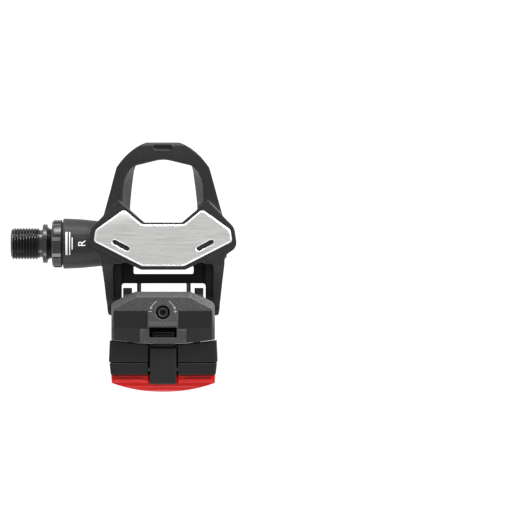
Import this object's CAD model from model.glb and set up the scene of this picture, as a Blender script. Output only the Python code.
import math

import bmesh
import bpy
from mathutils import Matrix, Vector


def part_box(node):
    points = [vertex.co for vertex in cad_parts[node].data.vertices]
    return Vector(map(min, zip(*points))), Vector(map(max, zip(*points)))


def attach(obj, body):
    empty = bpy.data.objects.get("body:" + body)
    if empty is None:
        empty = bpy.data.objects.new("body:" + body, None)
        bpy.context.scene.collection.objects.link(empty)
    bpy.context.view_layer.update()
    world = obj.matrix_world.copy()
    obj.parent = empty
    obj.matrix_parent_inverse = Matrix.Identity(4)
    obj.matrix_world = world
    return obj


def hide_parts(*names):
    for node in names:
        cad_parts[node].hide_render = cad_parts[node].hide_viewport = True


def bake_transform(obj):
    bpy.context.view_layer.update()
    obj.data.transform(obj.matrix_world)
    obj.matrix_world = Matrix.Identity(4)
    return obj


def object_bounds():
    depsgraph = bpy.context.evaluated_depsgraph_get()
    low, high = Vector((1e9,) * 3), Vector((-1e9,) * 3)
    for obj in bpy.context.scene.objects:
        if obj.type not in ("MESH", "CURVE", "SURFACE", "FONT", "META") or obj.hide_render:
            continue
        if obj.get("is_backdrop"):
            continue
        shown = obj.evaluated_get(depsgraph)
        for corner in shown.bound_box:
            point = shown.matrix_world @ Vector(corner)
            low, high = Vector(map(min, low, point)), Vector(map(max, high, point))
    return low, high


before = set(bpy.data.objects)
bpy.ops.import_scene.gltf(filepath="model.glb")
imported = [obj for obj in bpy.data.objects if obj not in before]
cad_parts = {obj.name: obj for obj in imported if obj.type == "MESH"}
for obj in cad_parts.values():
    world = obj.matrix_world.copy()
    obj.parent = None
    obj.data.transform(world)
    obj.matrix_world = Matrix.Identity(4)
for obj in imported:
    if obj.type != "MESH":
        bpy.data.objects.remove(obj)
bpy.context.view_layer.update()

bl_info = {
    "name": "Clipless road pedal with a rear light",
    "version": (1, 0, 0),
    "blender": (4, 5, 0),
    "location": "View3D > Sidebar > Pedal",
    "description": "Gives the packed pedal its finished surfaces, markings and studio",
    "category": "Add Mesh",
}

MM = 0.001
CENTRE_X = 53.0  # mm from the crank seat to the middle of the pedal
HINGE = (-27.2, -1.5)  # Y and Z of the release lever's hinge
SCREW_Y = -30.1
LEVER_TOP = 15.5
SLOT_X, SLOT_Y = 18.4, -0.8  # a cleat slot's middle, from the pedal's middle and on Y
PITCH = 1.27  # twenty threads to the inch
WELD = 0.02 * MM  # corners nearer than this are one
SKIN_SHARE = 0.4  # how much of a moulded skin's faces thinning keeps


# ---- Properties ----


def size_property(name, description, default_mm, low_mm, high_mm):
    """A length in the sidebar, given in millimetres and kept in metres."""
    return bpy.props.FloatProperty(
        name=name,
        description=description,
        default=default_mm * MM,
        min=low_mm * MM,
        max=high_mm * MM,
        precision=5,
        subtype="DISTANCE",
        unit="LENGTH",
    )


def colour_property(name, description, hex_code):
    """A colour in the sidebar, given as an sRGB hex value."""
    return bpy.props.FloatVectorProperty(
        name=name,
        description=description,
        default=linear(hex_code)[:3],
        min=0.0,
        max=1.0,
        size=3,
        subtype="COLOR",
    )


def linear(hex_code):
    """An sRGB hex colour as linear RGBA."""
    parts = [int(hex_code[i : i + 2], 16) / 255 for i in (1, 3, 5)]
    return (
        *(c / 12.92 if c <= 0.04045 else ((c + 0.055) / 1.055) ** 2.4 for c in parts),
        1.0,
    )


class PedalSizes(bpy.types.PropertyGroup):
    body_grid: size_property("Body grid", "Mesh size of the moulded body, which sets its edge radius", 0.3, 0.2, 1.0)
    lever_grid: size_property("Lever grid", "Mesh size of the lever, which sets its edge radius", 0.24, 0.15, 1.0)
    light_grid: size_property("Light grid", "Mesh size of the light's shells and lens", 0.24, 0.15, 1.0)
    thread_depth: size_property("Thread depth", "Depth of the pedal thread", 0.76, 0.2, 0.9)
    plate_edge: size_property("Plate edge", "Width of the cleat plate's polished edge", 0.7, 0.4, 1.2)
    mark_width: size_property("Mark width", "Width of the printed lines on the lever", 0.28, 0.1, 0.8)


class PedalColours(bpy.types.PropertyGroup):
    body: colour_property("Body", "Moulded composite of the pedal body", "#1b1b1c")
    lever: colour_property("Lever", "Moulded composite of the release lever", "#39393a")
    housing: colour_property("Light housing", "Plastic of the rear light's shells", "#0f0f0f")
    clip: colour_property("Clip", "Plastic of the light's clip", "#161616")
    lens: colour_property("Lens", "Clear red plastic of the lens", "#c60f08")
    plate: colour_property("Cleat plate", "Brushed stainless steel", "#dddcda")
    barrel_print: colour_property("Barrel print", "Printed bars and letter on the barrel", "#d8d8d6")
    mark: colour_property("Lever marks", "Printed arrows and signs on the lever", "#9c9c9a")


# ---- Materials ----


def add_node(tree, kind, settings=None, inputs=None, stops=()):
    """A node with its settings.

    An input given as a socket is linked, and any other is a value. Stops are a colour ramp's places and colours.
    """
    node = tree.nodes.new(kind)
    for key, value in (settings or {}).items():
        setattr(node, key, value)
    for key, value in (inputs or {}).items():
        if isinstance(value, bpy.types.NodeSocket):
            tree.links.new(value, node.inputs[key])
        else:
            node.inputs[key].default_value = value
    if stops:
        elements = node.color_ramp.elements
        elements[0].position, elements[0].color = stops[0]
        elements[1].position, elements[1].color = stops[-1]
        for position, colour in stops[1:-1]:
            elements.new(position).color = colour
    return node


def new_material(name):
    """(material, its node tree, its Principled shader, Object coordinates) for a finish."""
    material = bpy.data.materials.new(name)
    material.use_nodes = True
    tree = material.node_tree
    shader = tree.nodes["Principled BSDF"]
    place = add_node(tree, "ShaderNodeTexCoord").outputs["Object"]
    return material, tree, shader, place


def grey(value):
    """A neutral linear colour."""
    return (value, value, value, 1.0)


def scaled(colour, factor):
    """A linear colour made darker or lighter."""
    return (*(min(1.0, c * factor) for c in colour[:3]), 1.0)


def surfaced(tree, shader, pattern, stops, span, roughness, relief=None):
    """Gives a shader its surface from one pattern, and returns the colour.

    The colour lies between the stops, the roughness goes from its low to its high over the pattern's span, and
    the relief is a strength and a depth in millimetres.
    """
    tone = add_node(tree, "ShaderNodeValToRGB", inputs={"Fac": pattern}, stops=stops).outputs["Color"]
    tree.links.new(tone, shader.inputs["Base Color"])
    rough = add_node(
        tree,
        "ShaderNodeMapRange",
        inputs={
            "Value": pattern,
            "From Min": span[0],
            "From Max": span[1],
            "To Min": roughness[0],
            "To Max": roughness[1],
        },
    )
    tree.links.new(rough.outputs["Result"], shader.inputs["Roughness"])
    if relief:
        strength, depth_mm = relief
        bump = add_node(
            tree, "ShaderNodeBump", inputs={"Strength": strength, "Distance": depth_mm * MM, "Height": pattern}
        )
        tree.links.new(bump.outputs["Normal"], shader.inputs["Normal"])
    return tone


def moulded_composite(name, colour, roughness, grain_mm, contrast, sheen):
    # Short-fibre polyamide from a spark-eroded tool: near black, with a pale grain and a soft sheen that the
    # texture's pits break up. The real grain is about 0.1 mm, and is drawn coarser so that it shows.
    material, tree, shader, place = new_material(name)
    cloud_mm = 9
    grain = add_node(
        tree,
        "ShaderNodeTexNoise",
        inputs={"Vector": place, "Scale": 1 / (grain_mm * MM), "Detail": 3.0, "Roughness": 0.65},
    ).outputs["Fac"]
    cloud = add_node(
        tree,
        "ShaderNodeTexNoise",
        inputs={"Vector": place, "Scale": 1 / (cloud_mm * MM), "Detail": 2.0},
    ).outputs["Fac"]
    tone = surfaced(
        tree,
        shader,
        grain,
        [(0.3, scaled(colour, 1 - contrast)), (0.55, (*colour, 1.0)), (0.75, scaled(colour, 1 + 2 * contrast))],
        (0.3, 0.7),
        (roughness - 0.07, roughness + 0.09),
        (0.35, 0.03),
    )
    shade = add_node(
        tree, "ShaderNodeValToRGB", inputs={"Fac": cloud}, stops=[(0.3, grey(0.88)), (0.7, grey(1.0))]
    ).outputs["Color"]
    # A mix's sockets share their names, so they go by number: 0 the share, 6 and 7 the colours, 2 the result.
    mixed = add_node(
        tree,
        "ShaderNodeMix",
        {"data_type": "RGBA", "blend_type": "MULTIPLY"},
        {0: 1.0, 6: tone, 7: shade},
    )
    tree.links.new(mixed.outputs[2], shader.inputs["Base Color"])
    shader.inputs["IOR"].default_value = 1.53
    shader.inputs["Specular IOR Level"].default_value = sheen
    return material


def brushed_stainless(name, colour):
    # Stainless sheet, line-brushed along X: bright, with fine streaks that smear highlights across them. Real
    # streaks are under 0.1 mm wide, and are drawn wider so that they show.
    material, tree, shader, place = new_material(name)
    length_mm, width_mm = 9, 0.45
    stretched = add_node(
        tree,
        "ShaderNodeMapping",
        inputs={"Vector": place, "Scale": (1 / (length_mm * MM), 1 / (width_mm * MM), 1 / (width_mm * MM))},
    ).outputs["Vector"]
    streaks = add_node(
        tree, "ShaderNodeTexNoise", inputs={"Vector": stretched, "Scale": 1.0, "Detail": 4.0, "Roughness": 0.7}
    ).outputs["Fac"]
    stops = [(0.25, scaled(colour, 0.8)), (0.5, (*colour, 1.0)), (0.8, scaled(colour, 1.12))]
    surfaced(tree, shader, streaks, stops, (0.25, 0.75), (0.28, 0.44), (0.25, 0.01))
    shader.inputs["Metallic"].default_value = 1.0
    return material


def bare_steel(name, hex_code, roughness, grain_mm=0.3):
    # Turned, ground or plated metal: a clean sheen, with a faint mottle that breaks its reflections, drawn
    # coarser than the real finish so that it shows.
    material, tree, shader, place = new_material(name)
    mottle = add_node(
        tree, "ShaderNodeTexNoise", inputs={"Vector": place, "Scale": 1 / (grain_mm * MM), "Detail": 2.0}
    ).outputs["Fac"]
    colour = linear(hex_code)
    stops = [(0.3, scaled(colour, 0.85)), (0.7, scaled(colour, 1.08))]
    surfaced(tree, shader, mottle, stops, (0.3, 0.7), (roughness - 0.05, roughness + 0.06))
    shader.inputs["Metallic"].default_value = 1.0
    return material


def plain_plastic(name, colour, roughness, ior=1.5, sheen=0.5):
    # Moulded plastic from a satin tool: even colour, with a slight texture that softens its highlights, drawn
    # coarser than the real one so that it shows.
    material, tree, shader, place = new_material(name)
    grain_mm = 0.5
    grain = add_node(
        tree, "ShaderNodeTexNoise", inputs={"Vector": place, "Scale": 1 / (grain_mm * MM), "Detail": 2.0}
    ).outputs["Fac"]
    stops = [(0.3, scaled(colour, 0.88)), (0.7, scaled(colour, 1.1))]
    surfaced(tree, shader, grain, stops, (0.3, 0.7), (roughness - 0.05, roughness + 0.05), (0.2, 0.02))
    shader.inputs["IOR"].default_value = ior
    shader.inputs["Specular IOR Level"].default_value = sheen
    return material


def clear_red(name, colour, depth):
    # Injection-moulded polycarbonate, dyed red: deep, nearly even colour under a soft gloss. Depth is how much
    # of the colour comes back out, and a thick band gives back less.
    material, tree, shader, place = new_material(name)
    flow_mm = 6
    flow = add_node(
        tree, "ShaderNodeTexNoise", inputs={"Vector": place, "Scale": 1 / (flow_mm * MM), "Detail": 2.0}
    ).outputs["Fac"]
    stops = [(0.3, scaled(colour, 0.9 * depth)), (0.7, scaled(colour, depth))]
    tone = add_node(tree, "ShaderNodeValToRGB", inputs={"Fac": flow}, stops=stops).outputs["Color"]
    tree.links.new(tone, shader.inputs["Base Color"])
    shader.inputs["Roughness"].default_value = 0.18
    shader.inputs["IOR"].default_value = 1.58
    shader.inputs["Specular IOR Level"].default_value = 0.2
    shader.inputs["Transmission Weight"].default_value = 0.05
    return material


made = {}


def once(name, maker, *details):
    """The named material, made the first time it is asked for."""
    if name not in made:
        made[name] = maker(name, *details)
    return made[name]


def colours():
    """The colours set in the sidebar."""
    return bpy.context.scene.pedal_colours


def sizes():
    """The sizes set in the sidebar, in metres."""
    return bpy.context.scene.pedal_sizes


def body_composite():
    return once("Glass-filled polyamide, body", moulded_composite, tuple(colours().body), 0.5, 0.75, 0.3, 0.3)


def smooth_composite():
    return once("Smooth polyamide, inner faces", plain_plastic, linear("#060606")[:3], 0.5, 1.53, 0.15)


def satin_composite():
    return once("Glass-filled polyamide, satin", moulded_composite, linear("#131313")[:3], 0.48, 0.6, 0.25, 0.25)


def lever_composite():
    return once("Glass-filled polyamide, lever", moulded_composite, tuple(colours().lever), 0.5, 0.6, 0.6, 0.5)


def brushed_plate():
    return once("Line-brushed stainless steel", brushed_stainless, tuple(colours().plate))


def polished_edge():
    return once("Polished stainless edge", bare_steel, "#fafaf8", 0.3)


def black_oxide():
    return once("Black-oxide steel", bare_steel, "#4a4a4b", 0.3)


def worn_oxide():
    return once("Worn black-oxide steel", bare_steel, "#707070", 0.46)


def spring_steel():
    return once("Oiled spring steel", bare_steel, "#6d6c6a", 0.35)


def ground_steel():
    return once("Ground bearing steel", bare_steel, "#c3c4c5", 0.2)


def gold_plate():
    return once("Gold-plated contact", bare_steel, "#d9a441", 0.22)


def pouch_foil():
    return once("Laminated cell foil", bare_steel, "#b9bcc0", 0.4, 1.5)


def housing_plastic():
    return once("Satin black ABS", plain_plastic, tuple(colours().housing), 0.36, 1.53, 0.32)


def clip_plastic():
    return once("Satin black acetal", plain_plastic, tuple(colours().clip), 0.42, 1.48, 0.35)


def seal_rubber():
    return once("Nitrile rubber", plain_plastic, linear("#161616")[:3], 0.75, 1.52)


def solder_mask():
    return once("Green solder mask", plain_plastic, linear("#0f4a2c")[:3], 0.3, 1.5)


def emitter_plastic():
    return once("Cream emitter package", plain_plastic, linear("#e8e2c4")[:3], 0.35, 1.5)


def white_print():
    return once("White pad print", plain_plastic, tuple(colours().barrel_print), 0.55, 1.5)


def grey_print():
    return once("Grey pad print", plain_plastic, tuple(colours().mark), 0.55, 1.5)


def lens_plastic():
    return once("Red polycarbonate lens", clear_red, tuple(colours().lens), 1.0)


def deep_lens_plastic():
    return once("Red polycarbonate, thick band", clear_red, tuple(colours().lens), 0.5)


# ---- Pieces ----


def merged_copy(node):
    """A bmesh of a CAD node with its corners joined and its flats made whole."""
    bm = bmesh.new()
    bm.from_mesh(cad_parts[node].data)
    bmesh.ops.remove_doubles(bm, verts=bm.verts, dist=WELD)
    bmesh.ops.dissolve_limit(
        bm, angle_limit=math.radians(1), use_dissolve_boundaries=False, verts=bm.verts, edges=bm.edges, delimit=set()
    )
    return bm


def new_piece(bm, name, materials, smooth_degrees=32):
    """An object of the bmesh, in the scene, with its soft edges shaded smooth."""
    mesh = bpy.data.meshes.new(name)
    bm.normal_update()
    bm.to_mesh(mesh)
    bm.free()
    for polygon in mesh.polygons:
        polygon.use_smooth = True
    mesh.set_sharp_from_angle(angle=math.radians(smooth_degrees))
    for material in materials:
        mesh.materials.append(material)
    piece = bpy.data.objects.new(name, mesh)
    bpy.context.scene.collection.objects.link(piece)
    return piece


def place_piece(piece, body, slot, *nodes):
    """The piece rides on its body, takes a material slot and stands for these CAD nodes."""
    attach(piece, body)
    if nodes:
        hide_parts(*nodes)


def moulded(node, name, body, slot, materials, grid, passes=4, zone=None):
    """A CAD node's shape as one even skin whose edges are rounded the way a mould leaves them.

    More passes round them further. zone(middle), in millimetres, says which of the materials a face gets.
    """
    bm = bmesh.new()
    bm.from_mesh(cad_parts[node].data)
    bmesh.ops.remove_doubles(bm, verts=bm.verts, dist=WELD)
    rough = new_piece(bm, name + "_rough", [])
    skin = rough.modifiers.new("Even skin", "REMESH")
    skin.mode = "VOXEL"
    skin.voxel_size = grid
    ease = rough.modifiers.new("Eased edges", "SMOOTH")
    ease.factor = 0.5
    ease.iterations = passes
    thin = rough.modifiers.new("Thinned", "DECIMATE")
    thin.ratio = SKIN_SHARE
    finished = bmesh.new()
    finished.from_object(rough, bpy.context.evaluated_depsgraph_get())
    bpy.data.objects.remove(rough)
    if zone:
        for face in finished.faces:
            face.material_index = int(zone(face.calc_center_median() / MM))
    place_piece(new_piece(finished, name, materials, 180), body, slot, node)


def turned(rows, sides, centre=(0.0, 0.0), upright=False):
    """A surface turned about an axis along X, or along Z if upright, as a bmesh.

    Each row is its place along the axis and its radius in millimetres; a radius may be a function of the angle,
    which runs from the top, or from +Y if upright. The rows close on the axis or on the first row.
    """
    bm = bmesh.new()
    last = len(rows) - 1
    bmesh.ops.create_grid(bm, x_segments=last, y_segments=sides, size=1.0)
    for vert in bm.verts:
        along, radius = rows[round((vert.co.x + 1) / 2 * last)]
        angle = (vert.co.y + 1) * math.pi
        if callable(radius):
            radius = radius(angle)
        across, out = radius * math.sin(angle), radius * math.cos(angle)
        if upright:
            vert.co = (centre[0] + across, centre[1] + out, along)
        else:
            vert.co = (along, centre[0] + across, centre[1] + out)
    bmesh.ops.scale(bm, vec=(MM, MM, MM), verts=bm.verts)
    bmesh.ops.remove_doubles(bm, verts=bm.verts, dist=0.003 * MM)
    bmesh.ops.dissolve_degenerate(bm, edges=bm.edges, dist=0.001 * MM)
    bmesh.ops.recalc_face_normals(bm, faces=bm.faces)
    return bm


def hexagon(across_flats, grow=0.0):
    """The radius of a hexagon at an angle."""
    sixth = math.pi / 3
    return lambda angle: across_flats / 2 / math.cos(angle % sixth - sixth / 2) + grow


def repaint(node, material):
    """A CAD node whose shape is right gets its finish."""
    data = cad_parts[node].data
    data.materials.clear()
    data.materials.append(material)


def thicken(bm, lift_mm):
    """Makes a flat sheet a thin closed solid."""
    top = bmesh.ops.extrude_face_region(bm, geom=bm.faces[:])
    moved = [part for part in top["geom"] if isinstance(part, bmesh.types.BMVert)]
    bmesh.ops.translate(bm, vec=(0, 0, lift_mm * MM), verts=moved)
    bmesh.ops.recalc_face_normals(bm, faces=bm.faces)


# ---- Operators ----


class PEDAL_OT_body(bpy.types.Operator):
    """Mould the body with eased edges"""

    bl_idname = "pedal.body"
    bl_label = "Body"

    def execute(self, context):
        materials = [body_composite(), smooth_composite(), satin_composite()]
        moulded("pedal_body", "moulded_body", "body_unit", "composite", materials, sizes().body_grid, zone=self.zone)
        return {"FINISHED"}

    @staticmethod
    def zone(middle):
        """1 in the smooth well between the arms and under the plate's slots, 2 on the arms' inner ledges, else 0."""
        slot_half_length, slot_half_width, slot_floor, slot_rim = 6, 4, 9, 10.6
        well_half, well_heel, well_toe, well_floor, well_rim = 21.9, -30, -5, -9, 9.6
        ledge_start, ledge_floor = 18.8, 2
        across, y, z = abs(middle.x - CENTRE_X), middle.y, middle.z
        by_slot = abs(across - SLOT_X) < slot_half_length and abs(y - SLOT_Y) < slot_half_width
        if by_slot and slot_floor < z < slot_rim:
            return 1
        if across > well_half or not well_heel < y < well_toe or not well_floor < z < well_rim:
            return 0
        return 2 if across > ledge_start and z > ledge_floor else 1


class PEDAL_OT_cleat_plate(bpy.types.Operator):
    """Brush the cleat plate and roll its edges over to a polish"""

    bl_idname = "pedal.cleat_plate"
    bl_label = "Cleat plate"

    def execute(self, context):
        bm = merged_copy("cleat_plate")
        plate_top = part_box("cleat_plate")[1].z
        chamfer = 0.35 * MM
        rim_drop, shoulder_drop = 0.1 * MM, 0.3 * MM
        polished_from, polished_to = 0.2, 0.995  # how far up a polished face may look
        band = sizes().plate_edge - chamfer

        def top_faces():
            level = plate_top - 0.01 * MM
            return [f for f in bm.faces if f.normal.z > 0.99 and f.calc_center_median().z > level]

        top = set(top_faces())
        slot_edges = [
            e
            for e in bm.edges
            if len(top.intersection(e.link_faces)) == 1 and not any(self.is_outer(v) for v in e.verts)
        ]
        bmesh.ops.bevel(
            bm, geom=slot_edges, offset=band, segments=1, profile=0.5, affect="EDGES", material=-1, clamp_overlap=True
        )
        top = top_faces()
        rim = {v for v in bm.verts if abs(v.co.z - plate_top + chamfer) < WELD and self.is_outer(v)}
        border = bmesh.ops.inset_region(bm, faces=top, thickness=band, use_even_offset=True)["faces"]
        flat = {v for f in top for v in f.verts}
        shoulder = {v for f in border for v in f.verts if self.is_outer(v)} - flat
        for vert in rim:
            vert.co.z -= rim_drop
        for vert in shoulder:
            vert.co.z -= shoulder_drop
        bm.normal_update()
        for face in bm.faces:
            face.material_index = int(polished_from < face.normal.z < polished_to)
        plate = new_piece(bm, "brushed_cleat_plate", [brushed_plate(), polished_edge()], 15)
        place_piece(plate, "body_unit", "stainless", "cleat_plate")
        return {"FINISHED"}

    @staticmethod
    def is_outer(vert):
        """Whether a corner is on the plate's outline, and not on a slot's."""
        slot_reach = 5.2 * MM
        centres = [Vector((CENTRE_X + side * SLOT_X, SLOT_Y)) * MM for side in (-1, 1)]
        return all((centre - vert.co.xy).length > slot_reach for centre in centres)


class PEDAL_OT_spindle(bpy.types.Operator):
    """Turn the spindle with its thread and hexagon socket"""

    bl_idname = "pedal.spindle"
    bl_label = "Spindle"

    def execute(self, context):
        crest = 7.1
        root = crest - sizes().thread_depth / MM
        start, end = -13.6, -1.9
        run_in, run_out = 0.5, 0.3
        slope, root_flat = 1.25, 0.12

        def thread(along):
            """The radius at an angle, at a place along the right-hand thread."""
            fade = min(1.0, max(0.0, (along - start) / run_in), max(0.0, (end - along) / run_out))

            def radius(angle):
                phase = (along / PITCH + angle / (2 * math.pi)) % 1
                height = min(1.0, max(0.0, (1 - abs(2 * phase - 1)) * slope - root_flat))
                return root + (crest - root) * height * fade

            return radius

        rings_per_turn = 12
        steps = round((end - start) / (PITCH / rings_per_turn))
        stations = [start + i * (end - start) / steps for i in range(steps + 1)]
        socket = 8.0
        rows = [
            (-5, 0),
            (-5, hexagon(socket)),
            (-13.7, hexagon(socket)),
            (-14, hexagon(socket, 0.3)),
            (-14, 5.7),
            (-13.8, 6.05),
            *((along, thread(along)) for along in stations),
            (-1.7, root),
            (-1.4, root - 0.3),
            (0.3, root - 0.3),
            # The seat flange.
            (0.3, 7.25),
            (0, 7.3),
            (0, 8.25),
            (0.1, 8.45),
            (0.3, 8.55),
            (1.75, 8.55),
            (1.95, 8.45),
            (2.05, 8.25),
            (2.05, 7.35),
            # The journals of the seal, the ball bearing with its circlip groove, and the needle bearing.
            (3.4, 6.5),
            (12.5, 6.5),
            (13.4, 6),
            (14, 6),
            (14, 5),
            (19.1, 5),
            (19.1, 4.4),
            (20.2, 4.4),
            (20.2, 5),
            (24.1, 5),
            (28.1, 4),
            (75.7, 4),
            (76.5, 3.2),
            (76.5, 0),
        ]
        spindle = new_piece(turned(rows, 96), "threaded_spindle", [black_oxide()], 40)
        place_piece(spindle, "spindle_unit", "black_steel", "spindle")
        return {"FINISHED"}


class PEDAL_OT_lock_ring(bpy.types.Operator):
    """Turn the lock ring with its spanner grooves, and the lip seal inside it"""

    bl_idname = "pedal.lock_ring"
    bl_label = "Lock ring"

    def execute(self, context):
        outer, depth, half, count = 10.5, 0.7, 1.1, 8
        groove_front, groove_back, groove_low, groove_high = 4.2, 8.2, 9.6, 9.95
        first = math.radians(13.5)
        step = 2 * math.pi / count

        def grooved(radius):
            """The ring's radius at an angle, cut down to the floor of a spanner groove."""

            def at(angle):
                off = (angle - first + step / 2) % step - step / 2
                floor = (outer - depth) / math.cos(off)
                return min(radius, floor) if abs(off) < math.asin(half / outer) else radius

            return at

        rows = [
            (4.1, 8),
            (4.1, grooved(9.5)),
            (4.3, grooved(9.8)),
            (4.9, grooved(10.4)),
            (5.1, grooved(outer)),
            (8.14, grooved(outer)),
            (8.15, outer - 0.1),
            (8.35, 10.2),
            (8.35, 9.35),
            (13.9, 9.35),
            (13.9, 7.6),
            (12.5, 7),
            (7.7, 7),
            (7.7, 8),
            (4.1, 8),
        ]
        bm = turned(rows, 288)
        for face in bm.faces:
            middle = face.calc_center_median() / MM
            out = math.hypot(middle.y, middle.z)
            in_groove = groove_front < middle.x < groove_back and groove_low < out < groove_high
            face.material_index = 1 if in_groove else 2 if middle.x > groove_back else 0
        ring = new_piece(bm, "grooved_lock_ring", [black_oxide(), worn_oxide(), seal_rubber()], 30)
        place_piece(ring, "body_unit", "black_steel", "lock_ring")

        lip = [(4.6, 7), (4.6, 7.8), (4.7, 7.9), (7.6, 7.9), (7.6, 7.3), (5.6, 7.3), (6.2, 6.6), (5.5, 6.6), (4.6, 7)]
        seal = new_piece(turned(lip, 96), "spindle_lip_seal", [seal_rubber()])
        place_piece(seal, "body_unit", "rubber", "lip_seal")
        return {"FINISHED"}


class PEDAL_OT_barrel_marks(bpy.types.Operator):
    """Print plain bars and an R, for the right-hand pedal, on the barrel"""

    bl_idname = "pedal.barrel_marks"
    bl_label = "Barrel marks"

    def execute(self, context):
        bars = ((10.3, 0.9, 27), (11.9, 0.45, 27), (13, 0.45, 14))  # start, width, and degrees to each side
        letter_x, letter_height, letter_radius = 17.6, 4.6, 10.6
        for i, (start, width, reach) in enumerate(bars):
            bm = bmesh.new()
            bmesh.ops.create_grid(bm, x_segments=2, y_segments=24, size=1.0)
            for vert in bm.verts:
                vert.co = ((start + (vert.co.x + 1) / 2 * width) * MM, vert.co.y * math.radians(reach), 0)
            self.print_on(bm, f"barrel_bar_{i + 1}")

        curve = bpy.data.curves.new("barrel_letter", "FONT")
        curve.body = "R"
        curve.size = letter_height * MM
        curve.align_x = curve.align_y = "CENTER"
        text = bpy.data.objects.new("barrel_letter_text", curve)
        bpy.context.scene.collection.objects.link(text)
        letter = bpy.data.meshes.new_from_object(text.evaluated_get(bpy.context.evaluated_depsgraph_get()))
        bpy.data.objects.remove(text)
        bm = bmesh.new()
        bm.from_mesh(letter)
        bmesh.ops.triangulate(bm, faces=bm.faces)
        bmesh.ops.subdivide_edges(bm, edges=bm.edges, cuts=2, use_grid_fill=True)
        for vert in bm.verts:
            vert.co = (letter_x * MM - vert.co.y, vert.co.x / (letter_radius * MM), 0)
        self.print_on(bm, "barrel_letter")
        return {"FINISHED"}

    @staticmethod
    def print_on(bm, name):
        """Wraps a sheet of (place, angle) on the barrel as a thin film, and places it."""
        mouth_radius, proud, sunk = 11.1, 0.05, 0.25
        cone_start, cone_length, cone_drop = 9.2, 7.7, 0.35
        neck_start, neck_length, neck_drop = 16.9, 8, 0.8
        bmesh.ops.remove_doubles(bm, verts=bm.verts, dist=0.0001 * MM)
        bmesh.ops.recalc_face_normals(bm, faces=bm.faces)
        film = bmesh.ops.extrude_face_region(bm, geom=bm.faces[:])
        raised = {part for part in film["geom"] if isinstance(part, bmesh.types.BMVert)}
        for vert in bm.verts:
            along = vert.co.x / MM
            cone = min(1.0, (along - cone_start) / cone_length) * cone_drop
            neck = min(1.0, max(0.0, (along - neck_start) / neck_length)) * neck_drop
            out = (mouth_radius - cone - neck + (proud if vert in raised else -sunk)) * MM
            vert.co = (vert.co.x, out * math.sin(vert.co.y), out * math.cos(vert.co.y))
        bmesh.ops.recalc_face_normals(bm, faces=bm.faces)
        place_piece(new_piece(bm, name, [white_print()]), "body_unit", "composite")


class PEDAL_OT_lever(bpy.types.Operator):
    """Mould the release lever with eased edges"""

    bl_idname = "pedal.lever"
    bl_label = "Release lever"

    def execute(self, context):
        moulded(
            "release_lever",
            "moulded_lever",
            "lever_unit",
            "lever_composite",
            [lever_composite(), smooth_composite(), satin_composite(), body_composite()],
            sizes().lever_grid,
            passes=3,
            zone=self.zone,
        )
        return {"FINISHED"}

    @staticmethod
    def zone(middle):
        """1 in the aperture and the screw's counterbore, 2 on the front posts and the upper slope, 3 on the lower
        slope, else 0.
        """
        aperture_half, aperture_heel, aperture_toe, aperture_top = 6.2, -41.4, -36.4, 11.2
        bore_radius, bore_top = 3.2, 15.2
        post_heel, post_inner, post_top = -22.2, 12, 12
        slope_toe, slope_knee, slope_low, slope_half = -29.5, -36.9, 3, 21.4
        boss_half, boss_heel = 6.7, -37.4
        strap_half, strap_toe = 10.2, -37.3
        across, y, z = abs(middle.x - CENTRE_X), middle.y, middle.z
        if across < aperture_half and aperture_heel < y < aperture_toe and z < aperture_top:
            return 1
        if (middle.xy - Vector((CENTRE_X, SCREW_Y))).length < bore_radius and z < bore_top:
            return 1
        if y > post_heel and across > post_inner and z < post_top:
            return 2
        boss = across < boss_half and y > boss_heel
        strap = across < strap_half and y < strap_toe
        if y > slope_toe or z < slope_low or across > slope_half or boss or strap:
            return 0
        return 2 if y > slope_knee else 3


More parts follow.
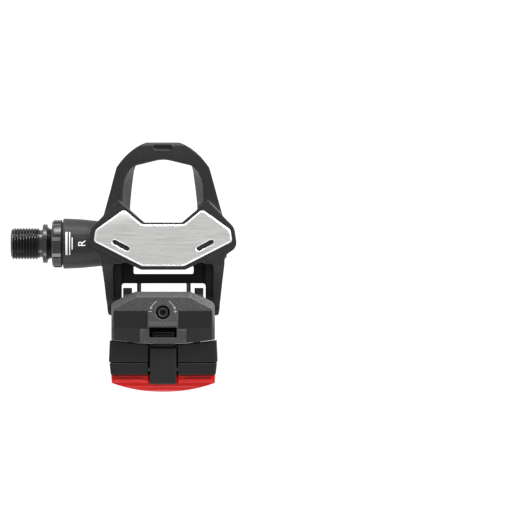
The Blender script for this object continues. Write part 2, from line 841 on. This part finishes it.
class PEDAL_OT_lever_marks(bpy.types.Operator):
    """Print the tension arrows, the minus and the plus round the screw"""

    bl_idname = "pedal.lever_marks"
    bl_label = "Lever marks"

    def execute(self, context):
        width = sizes().mark_width / MM
        radius, bar_length = 5.5, 1.45
        for side, name in ((1, "plus"), (-1, "minus")):
            bm = bmesh.new()
            self.arc(bm, side, radius, width)
            self.arrowhead(bm, side, radius)
            self.bar(bm, side * radius, bar_length, width)
            thicken(bm, 0.08)
            place_piece(new_piece(bm, f"{name}_arrow", [grey_print()]), "lever_unit", "lever_composite")
        upright = bmesh.new()
        self.bar(upright, radius, width, bar_length)
        thicken(upright, 0.075)
        place_piece(new_piece(upright, "plus_upright", [grey_print()]), "lever_unit", "lever_composite")
        return {"FINISHED"}

    @staticmethod
    def sheet_level():
        """The marks' underside, just inside the lever."""
        return (LEVER_TOP - 0.05) * MM

    def arc(self, bm, side, radius, width):
        """An arc from near the front to beside the screw, swept from a short radial edge."""
        start, sweep = math.radians(62), math.radians(-36)
        inner, outer = radius - width / 2, radius + width / 2
        ends = [
            bm.verts.new((side * math.cos(start) * r * MM, math.sin(start) * r * MM, self.sheet_level()))
            for r in (inner, outer)
        ]
        edge = bm.edges.new(ends)
        bmesh.ops.translate(bm, vec=(CENTRE_X * MM, SCREW_Y * MM, 0), verts=ends)
        bmesh.ops.spin(
            bm,
            geom=[*ends, edge],
            cent=(CENTRE_X * MM, SCREW_Y * MM, 0),
            axis=(0, 0, 1),
            angle=side * sweep,
            steps=14,
            use_merge=False,
            use_duplicate=False,
        )

    def arrowhead(self, bm, side, radius):
        """A triangle that points along the arc's lower end."""
        size, lean = 0.72 * MM, math.radians(20)
        angle = math.radians(15) + 0.1
        head = bmesh.ops.create_circle(bm, cap_ends=True, segments=3, radius=size)["verts"]
        turn = Matrix.Rotation(math.radians(180) + side * lean, 4, "Z")
        bmesh.ops.transform(bm, matrix=turn, verts=head)
        place = Vector((CENTRE_X + side * radius * math.cos(angle), SCREW_Y + radius * math.sin(angle), 0)) * MM
        place.z = self.sheet_level()
        bmesh.ops.translate(bm, vec=place, verts=head)

    def bar(self, bm, x, length, width):
        """A straight bar beside the screw, level with its sign."""
        grid = bmesh.ops.create_grid(bm, x_segments=1, y_segments=1, size=0.5 * MM)["verts"]
        bmesh.ops.scale(bm, vec=(length, width, 1), verts=grid)
        ahead = 0.4
        place = ((CENTRE_X + x) * MM, (SCREW_Y + ahead) * MM, self.sheet_level())
        bmesh.ops.translate(bm, vec=place, verts=grid)


class PEDAL_OT_tension_screw(bpy.types.Operator):
    """Turn the tension screw with its hexagon socket, and the hinge pin"""

    bl_idname = "pedal.tension_screw"
    bl_label = "Tension screw and hinge pin"

    def execute(self, context):
        socket = 2.5
        socket_reach, socket_floor, socket_rim = 1.5, 12, 14.85
        head_edge, head_level = 2.2, 14.6
        rows = [
            (2.2, 0),
            (2.2, 1.6),
            (2.5, 1.95),
            (11.7, 1.95),
            (11.7, 2.3),
            (11.85, 2.45),
            (14.5, 2.45),
            (14.7, 2.4),
            (14.85, 2.28),
            (14.9, 2.1),
            (14.9, hexagon(socket, 0.3)),
            (14.7, hexagon(socket)),
            (12.9, hexagon(socket)),
            (12.6, 0),
        ]
        bm = turned(rows, 72, (CENTRE_X, SCREW_Y), upright=True)
        for face in bm.faces:
            middle = face.calc_center_median() / MM
            out = (middle.xy - Vector((CENTRE_X, SCREW_Y))).length
            in_socket = out < socket_reach and socket_floor < middle.z < socket_rim
            on_edge = out > head_edge and middle.z > head_level
            face.material_index = 1 if in_socket else 2 if on_edge else 0
        screw = new_piece(bm, "socket_head_screw", [black_oxide(), seal_rubber(), ground_steel()], 40)
        place_piece(screw, "screw_unit", "black_steel", "tension_screw")

        radius, chamfer = 2, 0.3
        low, high = (corner.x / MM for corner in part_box("hinge_pin"))
        ends = [
            (low, 0),
            (low, radius - chamfer),
            (low + chamfer, radius),
            (high - chamfer, radius),
            (high, radius - chamfer),
            (high, 0),
        ]
        pin = new_piece(turned(ends, 64, HINGE), "ground_hinge_pin", [spring_steel()], 30)
        place_piece(pin, "body_unit", "spring_steel", "hinge_pin")
        return {"FINISHED"}


class PEDAL_OT_springs(bpy.types.Operator):
    """Wind the pair of torsion springs, which twist between the body and the lever"""

    bl_idname = "pedal.springs"
    bl_label = "Torsion springs"

    def execute(self, context):
        for side, name in ((1, "outboard"), (-1, "inboard")):
            self.wind(side, name)
        return {"FINISHED"}

    @staticmethod
    def wind(side, name):
        """Winds a coil round the hinge from its front leg inwards, and draws a straight leg out of each end."""
        wire, coil, turns = 1.0, 3.9, 3.5
        front_x, rear_x = 10.9, 3.6
        front_tip, front_z, rear_tip = -15.9, -4.55, -34.4
        steps = 84
        hinge_y, hinge_z = HINGE
        bm = bmesh.new()
        ring = bmesh.ops.create_circle(bm, cap_ends=True, segments=20, radius=wire * MM)["verts"]
        turn = Matrix.Rotation(math.radians(90), 4, "X")
        bmesh.ops.transform(bm, matrix=turn, verts=ring)
        start = Vector((CENTRE_X + side * front_x, hinge_y, hinge_z - coil)) * MM
        bmesh.ops.translate(bm, vec=start, verts=ring)
        swept = bmesh.ops.spin(
            bm,
            geom=[*ring, *bm.edges[:], *bm.faces[:]],
            cent=Vector((0, hinge_y, hinge_z)) * MM,
            axis=(1, 0, 0),
            dvec=(side * (rear_x - front_x) / steps * MM, 0, 0),
            angle=-turns * 2 * math.pi,
            steps=steps,
            use_merge=False,
            use_duplicate=False,
        )
        rear = [part for part in swept["geom_last"] if isinstance(part, bmesh.types.BMFace)]
        leg = bmesh.ops.extrude_face_region(bm, geom=rear)
        moved = [part for part in leg["geom"] if isinstance(part, bmesh.types.BMVert)]
        bmesh.ops.delete(bm, geom=rear, context="FACES_ONLY")
        bmesh.ops.translate(bm, vec=(0, (rear_tip - hinge_y) * MM, 0), verts=moved)
        open_edges = [edge for edge in bm.edges if edge.is_boundary]
        if open_edges:
            bmesh.ops.holes_fill(bm, edges=open_edges)
        first = min(
            (face for face in bm.faces if len(face.verts) > 4),
            key=lambda face: (face.calc_center_median() - start).length,
        )
        leg = bmesh.ops.extrude_face_region(bm, geom=[first])
        moved = [part for part in leg["geom"] if isinstance(part, bmesh.types.BMVert)]
        bmesh.ops.delete(bm, geom=[first], context="FACES_ONLY")
        reach = Vector((0, front_tip - hinge_y, front_z - hinge_z + coil)) * MM
        bmesh.ops.translate(bm, vec=reach, verts=moved)
        bmesh.ops.recalc_face_normals(bm, faces=bm.faces)
        spring = new_piece(bm, f"wound_spring_{name}", [spring_steel()], 50)
        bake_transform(spring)
        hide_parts(f"torsion_spring_{name}")


class PEDAL_OT_light(bpy.types.Operator):
    """Mould the light's shells and its clip"""

    bl_idname = "pedal.light"
    bl_label = "Rear light housing"

    def execute(self, context):
        grid = sizes().light_grid
        for node, name in (("light_front_shell", "front_shell"), ("light_rear_shell", "rear_shell")):
            moulded(node, name, "light_unit", "light_plastic", [housing_plastic()], grid, passes=3)
        clip_grid = 0.2 * MM
        moulded("light_clip", "clip_tab", "clip_unit", "light_plastic", [clip_plastic()], clip_grid, passes=8)
        return {"FINISHED"}


class PEDAL_OT_lens(bpy.types.Operator):
    """Mould the red lens and the ribs along its top"""

    bl_idname = "pedal.lens"
    bl_label = "Red lens"

    def execute(self, context):
        moulded(
            "light_lens",
            "red_lens",
            "light_unit",
            "red_lens",
            [lens_plastic(), deep_lens_plastic()],
            sizes().light_grid,
            passes=3,
            zone=self.is_deep,
        )
        length, thickness, middle_x, sunk = 14, 0.7, 14.6, 0.05
        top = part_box("light_lens")[1].z / MM
        bm = bmesh.new()
        for side in (-1, 1):
            for y, depth in ((-58.1, 0.35), (-59.8, 0.6)):
                rib = bmesh.ops.create_cube(bm, size=MM)["verts"]
                bmesh.ops.scale(bm, vec=(length, depth, thickness), verts=rib)
                place = Vector((CENTRE_X + side * middle_x, y, top - sunk)) * MM
                bmesh.ops.translate(bm, vec=place, verts=rib)
        bmesh.ops.bevel(
            bm,
            geom=bm.edges[:],
            offset=0.18 * MM,
            segments=3,
            profile=0.5,
            affect="EDGES",
            material=-1,
            clamp_overlap=True,
        )
        ribs = new_piece(bm, "lens_ribs", [lens_plastic()], 60)
        place_piece(ribs, "light_unit", "red_lens")
        return {"FINISHED"}

    @staticmethod
    def is_deep(middle):
        """Whether a point is on the thick band of the lens beside the housing, which looks darker."""
        band_inner, band_outer, band_heel, band_toe = 9, 21.3, -59.4, -58.2
        return band_inner < abs(middle.x - CENTRE_X) < band_outer and band_heel < middle.y < band_toe


class PEDAL_OT_small_parts(bpy.types.Operator):
    """Give the bearings, screws and the light's insides their finishes"""

    bl_idname = "pedal.small_parts"
    bl_label = "Small parts"

    def execute(self, context):
        finishes = (
            (ground_steel, ("ball_bearing_inner_ring", "ball_bearing_outer_ring", "ball_cage")),
            (ground_steel, ("needle_bearing_shell", "needle_cage")),
            (spring_steel, ("bearing_circlip", "screw_clip", "tension_nut", "clip_pin", "clip_spring")),
            (spring_steel, ("shell_screw_outboard", "shell_screw_inboard")),
            (seal_rubber, ("bearing_shield_inboard", "bearing_shield_outboard", "light_gasket", "mode_button")),
            (gold_plate, ("charge_contact_inboard", "charge_contact_outboard")),
            (solder_mask, ("led_board",)),
            (emitter_plastic, ("led_1", "led_2", "led_3", "led_4")),
            (pouch_foil, ("battery_cell",)),
        )
        for finish, nodes in finishes:
            for node in nodes:
                repaint(node, finish())
        return {"FINISHED"}


class PEDAL_OT_stage(bpy.types.Operator):
    """Set the floor, the soft lights and the camera"""

    bl_idname = "pedal.stage"
    bl_label = "Studio"

    def execute(self, context):
        scene = context.scene
        scene.view_settings.view_transform = "Standard"
        self.floor(scene)
        self.sky(scene)
        self.softboxes(scene)
        self.camera(scene)
        return {"FINISHED"}

    @staticmethod
    def floor(scene):
        """A wide glowing table under the pedal."""
        bm = bmesh.new()
        bmesh.ops.create_grid(bm, x_segments=1, y_segments=1, size=1.5)
        # Low enough for the pedal to turn right round on its spindle with the light slid off.
        clear = 80 * MM
        bmesh.ops.translate(bm, vec=(CENTRE_X * MM, 0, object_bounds()[0].z - clear), verts=bm.verts)
        mesh = bpy.data.meshes.new("floor")
        bm.to_mesh(mesh)
        bm.free()
        # Backlit white acrylic: it glows, so what lies on it throws next to no shadow.
        material, _tree, shader, _place = new_material("Backlit white acrylic")
        shader.inputs["Base Color"].default_value = grey(0.12)
        shader.inputs["Roughness"].default_value = 0.9
        shader.inputs["Emission Color"].default_value = grey(1.0)
        shader.inputs["Emission Strength"].default_value = 0.93
        mesh.materials.append(material)
        floor = bpy.data.objects.new("floor", mesh)
        scene.collection.objects.link(floor)
        floor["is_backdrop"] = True

    @staticmethod
    def sky(scene):
        """White walls that darken towards the ceiling."""
        world = bpy.data.worlds.new("Studio")
        world.use_nodes = True
        tree = world.node_tree
        direction = add_node(tree, "ShaderNodeTexCoord").outputs["Generated"]
        height = add_node(tree, "ShaderNodeSeparateXYZ", inputs={"Vector": direction}).outputs["Z"]
        stops = [(0.0, grey(1.0)), (0.35, grey(0.85)), (0.8, grey(0.68))]
        walls = add_node(tree, "ShaderNodeValToRGB", inputs={"Fac": height}, stops=stops).outputs["Color"]
        tree.links.new(walls, tree.nodes["Background"].inputs["Color"])
        tree.nodes["Background"].inputs["Strength"].default_value = 1.0
        scene.world = world

    @staticmethod
    def softboxes(scene):
        """Soft lamps that face the pedal, each with its place, width and height in metres and its watts."""
        middle = Vector((CENTRE_X, -10, 0)) * MM
        for name, place, width, height, power in (
            ("toe_strip", (0.05, 0.85, 0.33), 1.0, 0.22, 10.0),
            ("heel_strip", (0.05, -0.85, 0.33), 1.0, 0.22, 3.5),
            ("right_softbox", (0.8, 0.55, 0.27), 0.3, 0.3, 14.0),
        ):
            light = bpy.data.lights.new(name, "AREA")
            light.shape = "RECTANGLE"
            light.size = width
            light.size_y = height
            light.energy = power
            lamp = bpy.data.objects.new(name, light)
            lamp.location = place
            lamp.rotation_mode = "QUATERNION"
            lamp.rotation_quaternion = (middle - Vector(place)).to_track_quat("-Z", "Y")
            scene.collection.objects.link(lamp)

    @staticmethod
    def camera(scene):
        """Straight above, far enough back to flatten the view."""
        data = bpy.data.cameras.new("camera")
        data.lens = 300
        data.sensor_width = 36
        data.clip_end = 20
        view_width, aside, back, sharp_level = 232.75, 45.06, -9.84, 11
        distance = view_width * data.lens / data.sensor_width
        camera = bpy.data.objects.new("camera", data)
        camera.location = Vector((CENTRE_X + aside, back, sharp_level + distance)) * MM
        scene.collection.objects.link(camera)
        scene.camera = camera


class PEDAL_PT_panel(bpy.types.Panel):
    """The pedal's sizes, colours and pieces"""

    bl_idname = "PEDAL_PT_panel"
    bl_label = "Pedal"
    bl_space_type = "VIEW_3D"
    bl_region_type = "UI"
    bl_category = "Pedal"

    def draw(self, context):
        for group in (context.scene.pedal_sizes, context.scene.pedal_colours):
            box = self.layout.box()
            for key in group.__annotations__:
                box.prop(group, key)
        for operator in OPERATORS:
            self.layout.operator(operator.bl_idname)


OPERATORS = (
    PEDAL_OT_body,
    PEDAL_OT_cleat_plate,
    PEDAL_OT_spindle,
    PEDAL_OT_lock_ring,
    PEDAL_OT_barrel_marks,
    PEDAL_OT_lever,
    PEDAL_OT_lever_marks,
    PEDAL_OT_tension_screw,
    PEDAL_OT_springs,
    PEDAL_OT_light,
    PEDAL_OT_lens,
    PEDAL_OT_small_parts,
    PEDAL_OT_stage,
)
CLASSES = (PedalSizes, PedalColours, *OPERATORS, PEDAL_PT_panel)


def register():
    for cls in CLASSES:
        bpy.utils.register_class(cls)
    bpy.types.Scene.pedal_sizes = bpy.props.PointerProperty(type=PedalSizes)
    bpy.types.Scene.pedal_colours = bpy.props.PointerProperty(type=PedalColours)


def unregister():
    del bpy.types.Scene.pedal_colours
    del bpy.types.Scene.pedal_sizes
    for cls in reversed(CLASSES):
        bpy.utils.unregister_class(cls)


def main():
    """Makes every piece in order."""
    register()
    for operator in OPERATORS:
        group, name = operator.bl_idname.split(".")
        getattr(getattr(bpy.ops, group), name)()


if __name__ == "__main__":
    main()
